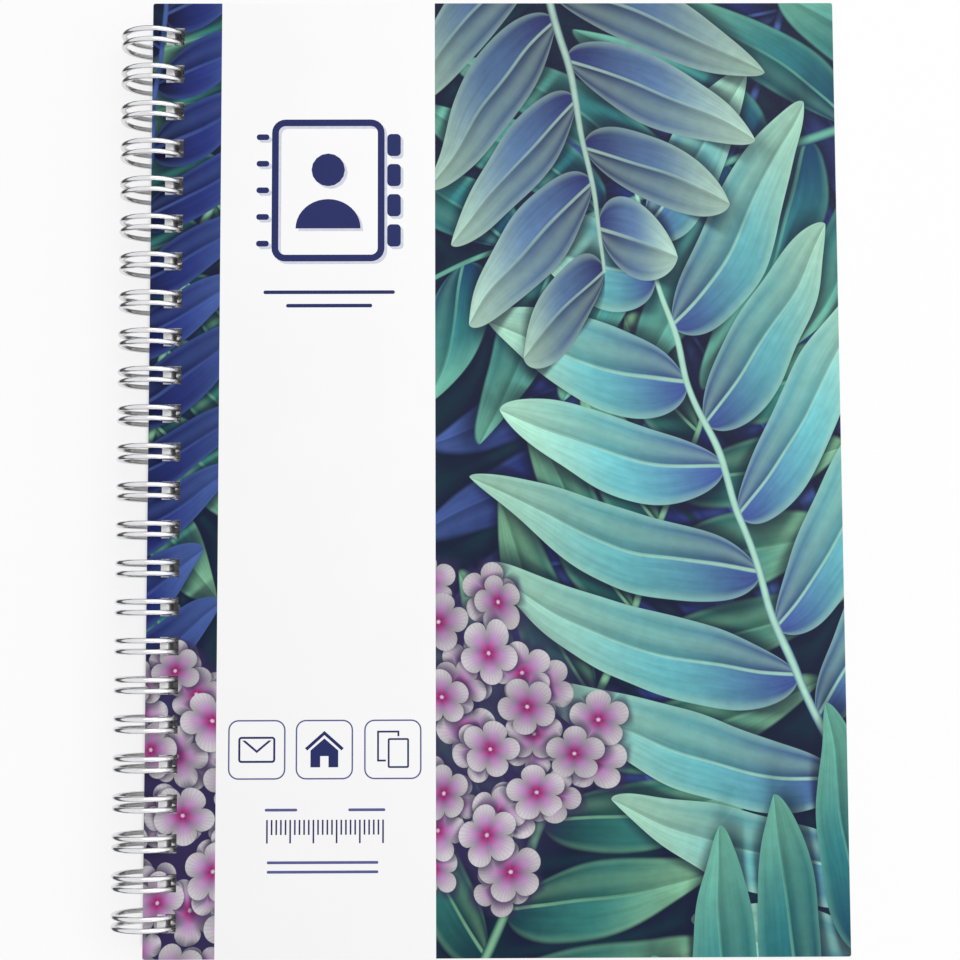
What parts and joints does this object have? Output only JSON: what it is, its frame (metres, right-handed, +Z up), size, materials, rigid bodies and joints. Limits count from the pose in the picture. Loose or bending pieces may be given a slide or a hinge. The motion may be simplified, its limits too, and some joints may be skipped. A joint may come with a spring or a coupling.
{
  "type": "address book",
  "caption": "Twin-loop wire bound A5 address book with soft laminated covers and lettered leaves step-cut along the fore-edge, each turning on the binding.",
  "frame": {"origin": "under the middle of the closed book, on the table that the wire loops stand on", "axes": "+X from the wire binding to the fore-edge, +Y from the tail to the head of the pages, +Z up out of the front cover"},
  "size_m": [0.1599, 0.21, 0.0154],
  "materials": {
    "polished_wire": "polished silver steel wire",
    "cover_card": "printed card with a smooth clear film",
    "cover_board": "plain pale board",
    "index_paper": "smooth white writing paper, ruled and lettered in print"
  },
  "bodies": {
    "wire": {"wire_binding": "polished_wire"},
    "back_cover": {"back_cover": "cover_board"},
    "leaves_xyz": {"index_leaves_xyz": "index_paper"},
    "leaves_w": {"index_leaves_w": "index_paper"},
    "leaves_v": {"index_leaves_v": "index_paper"},
    "leaves_u": {"index_leaves_u": "index_paper"},
    "leaves_t": {"index_leaves_t": "index_paper"},
    "leaves_s": {"index_leaves_s": "index_paper"},
    "leaves_r": {"index_leaves_r": "index_paper"},
    "leaves_q": {"index_leaves_q": "index_paper"},
    "leaves_p": {"index_leaves_p": "index_paper"},
    "leaves_o": {"index_leaves_o": "index_paper"},
    "leaves_n": {"index_leaves_n": "index_paper"},
    "leaves_m": {"index_leaves_m": "index_paper"},
    "leaves_l": {"index_leaves_l": "index_paper"},
    "leaves_k": {"index_leaves_k": "index_paper"},
    "leaves_j": {"index_leaves_j": "index_paper"},
    "leaves_i": {"index_leaves_i": "index_paper"},
    "leaves_h": {"index_leaves_h": "index_paper"},
    "leaves_g": {"index_leaves_g": "index_paper"},
    "leaves_f": {"index_leaves_f": "index_paper"},
    "leaves_e": {"index_leaves_e": "index_paper"},
    "leaves_d": {"index_leaves_d": "index_paper"},
    "leaves_c": {"index_leaves_c": "index_paper"},
    "leaves_b": {"index_leaves_b": "index_paper"},
    "leaves_a": {"index_leaves_a": "index_paper"},
    "front_cover": {"front_cover": "cover_card"}
  },
  "joints": [
    {"name": "back_cover_turn", "type": "hinge", "parent": "wire", "child": "back_cover", "pos_m": [-0.07215, 0, 0.00758], "axis": [0, -1, 0], "range_deg": [0, 180]},
    {"name": "leaves_xyz_turn", "type": "hinge", "parent": "back_cover", "child": "leaves_xyz", "pos_m": [-0.07215, 0, 0.00758], "axis": [0, -1, 0], "range_deg": [0, 180]},
    {"name": "leaves_w_turn", "type": "hinge", "parent": "leaves_xyz", "child": "leaves_w", "pos_m": [-0.07215, 0, 0.00758], "axis": [0, -1, 0], "range_deg": [0, 180]},
    {"name": "leaves_v_turn", "type": "hinge", "parent": "leaves_w", "child": "leaves_v", "pos_m": [-0.07215, 0, 0.00758], "axis": [0, -1, 0], "range_deg": [0, 180]},
    {"name": "leaves_u_turn", "type": "hinge", "parent": "leaves_v", "child": "leaves_u", "pos_m": [-0.07215, 0, 0.00758], "axis": [0, -1, 0], "range_deg": [0, 180]},
    {"name": "leaves_t_turn", "type": "hinge", "parent": "leaves_u", "child": "leaves_t", "pos_m": [-0.07215, 0, 0.00758], "axis": [0, -1, 0], "range_deg": [0, 180]},
    {"name": "leaves_s_turn", "type": "hinge", "parent": "leaves_t", "child": "leaves_s", "pos_m": [-0.07215, 0, 0.00758], "axis": [0, -1, 0], "range_deg": [0, 180]},
    {"name": "leaves_r_turn", "type": "hinge", "parent": "leaves_s", "child": "leaves_r", "pos_m": [-0.07215, 0, 0.00758], "axis": [0, -1, 0], "range_deg": [0, 180]},
    {"name": "leaves_q_turn", "type": "hinge", "parent": "leaves_r", "child": "leaves_q", "pos_m": [-0.07215, 0, 0.00758], "axis": [0, -1, 0], "range_deg": [0, 180]},
    {"name": "leaves_p_turn", "type": "hinge", "parent": "leaves_q", "child": "leaves_p", "pos_m": [-0.07215, 0, 0.00758], "axis": [0, -1, 0], "range_deg": [0, 180]},
    {"name": "leaves_o_turn", "type": "hinge", "parent": "leaves_p", "child": "leaves_o", "pos_m": [-0.07215, 0, 0.00758], "axis": [0, -1, 0], "range_deg": [0, 180]},
    {"name": "leaves_n_turn", "type": "hinge", "parent": "leaves_o", "child": "leaves_n", "pos_m": [-0.07215, 0, 0.00758], "axis": [0, -1, 0], "range_deg": [0, 180]},
    {"name": "leaves_m_turn", "type": "hinge", "parent": "leaves_n", "child": "leaves_m", "pos_m": [-0.07215, 0, 0.00758], "axis": [0, -1, 0], "range_deg": [0, 180]},
    {"name": "leaves_l_turn", "type": "hinge", "parent": "leaves_m", "child": "leaves_l", "pos_m": [-0.07215, 0, 0.00758], "axis": [0, -1, 0], "range_deg": [0, 180]},
    {"name": "leaves_k_turn", "type": "hinge", "parent": "leaves_l", "child": "leaves_k", "pos_m": [-0.07215, 0, 0.00758], "axis": [0, -1, 0], "range_deg": [0, 180]},
    {"name": "leaves_j_turn", "type": "hinge", "parent": "leaves_k", "child": "leaves_j", "pos_m": [-0.07215, 0, 0.00758], "axis": [0, -1, 0], "range_deg": [0, 180]},
    {"name": "leaves_i_turn", "type": "hinge", "parent": "leaves_j", "child": "leaves_i", "pos_m": [-0.07215, 0, 0.00758], "axis": [0, -1, 0], "range_deg": [0, 180]},
    {"name": "leaves_h_turn", "type": "hinge", "parent": "leaves_i", "child": "leaves_h", "pos_m": [-0.07215, 0, 0.00758], "axis": [0, -1, 0], "range_deg": [0, 180]},
    {"name": "leaves_g_turn", "type": "hinge", "parent": "leaves_h", "child": "leaves_g", "pos_m": [-0.07215, 0, 0.00758], "axis": [0, -1, 0], "range_deg": [0, 180]},
    {"name": "leaves_f_turn", "type": "hinge", "parent": "leaves_g", "child": "leaves_f", "pos_m": [-0.07215, 0, 0.00758], "axis": [0, -1, 0], "range_deg": [0, 180]},
    {"name": "leaves_e_turn", "type": "hinge", "parent": "leaves_f", "child": "leaves_e", "pos_m": [-0.07215, 0, 0.00758], "axis": [0, -1, 0], "range_deg": [0, 180]},
    {"name": "leaves_d_turn", "type": "hinge", "parent": "leaves_e", "child": "leaves_d", "pos_m": [-0.07215, 0, 0.00758], "axis": [0, -1, 0], "range_deg": [0, 180]},
    {"name": "leaves_c_turn", "type": "hinge", "parent": "leaves_d", "child": "leaves_c", "pos_m": [-0.07215, 0, 0.00758], "axis": [0, -1, 0], "range_deg": [0, 180]},
    {"name": "leaves_b_turn", "type": "hinge", "parent": "leaves_c", "child": "leaves_b", "pos_m": [-0.07215, 0, 0.00758], "axis": [0, -1, 0], "range_deg": [0, 180]},
    {"name": "leaves_a_turn", "type": "hinge", "parent": "leaves_b", "child": "leaves_a", "pos_m": [-0.07215, 0, 0.00758], "axis": [0, -1, 0], "range_deg": [0, 180]},
    {"name": "front_cover_turn", "type": "hinge", "parent": "leaves_a", "child": "front_cover", "pos_m": [-0.07215, 0, 0.00758], "axis": [0, -1, 0], "range_deg": [0, 180]}
  ]
}
